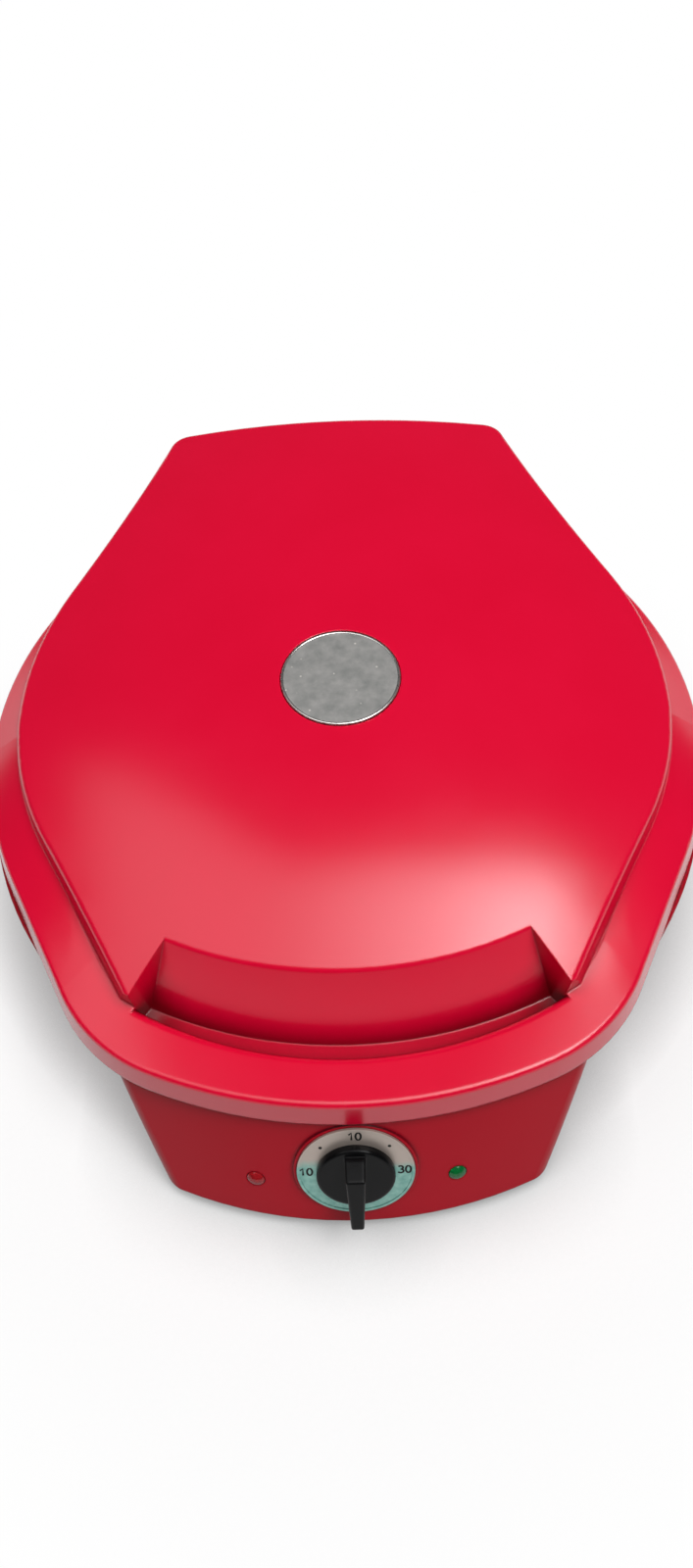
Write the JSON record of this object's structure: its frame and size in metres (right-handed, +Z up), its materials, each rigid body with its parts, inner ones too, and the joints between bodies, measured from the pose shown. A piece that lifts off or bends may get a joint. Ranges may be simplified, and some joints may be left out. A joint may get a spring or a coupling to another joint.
{
  "type": "electric pizza maker",
  "caption": "Round countertop pizza maker with a hinged domed lid, two heated baking plates, a sunken finger recess, a timer knob and signal lamps.",
  "frame": {"origin": "centre of the footprint's bounding box, on the table the feet stand on", "axes": "+Z up, -Y towards the control panel, +X to the right as seen from the front"},
  "size_m": [0.343, 0.4168, 0.12],
  "materials": {
    "red_plastic": "satin gloss moulded",
    "black_cover": "fine spark texture",
    "black_rubber": "matte",
    "coated_aluminium": "dark non-stick coating",
    "heater_steel": "oxidised",
    "sheet_steel": "plated sheet",
    "bright_steel": "bright zinc",
    "brushed_badge": "circular brushed",
    "silver_dial": "satin print",
    "red_lens": "clear tinted",
    "green_lens": "clear tinted",
    "lamp_glass": "clear",
    "black_gloss_plastic": "gloss",
    "cream_plastic": "moulded",
    "cream_ceramic": "glazed",
    "fuse_sleeve": "woven glass sleeve"
  },
  "bodies": {
    "base": {"base_housing": "red_plastic", "bottom_cover": "black_cover", "cover_screws": "bright_steel", "foot_front_left": "black_rubber", "foot_front_right": "black_rubber", "foot_rear_left": "black_rubber", "foot_rear_right": "black_rubber", "cord_bush": "black_rubber", "lower_plate": "coated_aluminium", "lower_plate_screws": "bright_steel", "lower_heater": "heater_steel", "lower_heater_clips": "sheet_steel", "lower_reflector": "sheet_steel", "lower_reflector_screws": "bright_steel", "thermostat": "bright_steel", "thermal_fuse": "fuse_sleeve", "terminal_block": "cream_ceramic", "timer_body": "cream_plastic", "timer_screws": "bright_steel", "dial_ring": "silver_dial", "power_lens": "red_lens", "ready_lens": "green_lens", "power_lamp": "lamp_glass", "ready_lamp": "lamp_glass", "hinge_pin_left": "bright_steel", "hinge_pin_right": "bright_steel"},
    "lid": {"lid_shell": "red_plastic", "lid_badge": "brushed_badge", "lid_ring": "black_cover", "lid_ring_screws": "bright_steel", "upper_plate": "coated_aluminium", "upper_plate_screws": "bright_steel", "upper_heater": "heater_steel", "upper_heater_clips": "sheet_steel", "upper_reflector": "sheet_steel", "upper_reflector_screws": "bright_steel", "hinge_arm_left": "black_cover", "hinge_arm_right": "black_cover", "hinge_arm_screws": "bright_steel"},
    "knob": {"timer_knob": "black_gloss_plastic", "timer_shaft": "bright_steel"}
  },
  "joints": [
    {"name": "lid_hinge", "type": "hinge", "parent": "base", "child": "lid", "pos_m": [0, 0.19286, 0.0555], "axis": [-1, 0, 0], "range_deg": [0, 100]},
    {"name": "timer_turn", "type": "hinge", "parent": "base", "child": "knob", "pos_m": [0, -0.18665, 0.035], "axis": [0, 0.9063, -0.4226], "range_deg": [0, 270]}
  ]
}
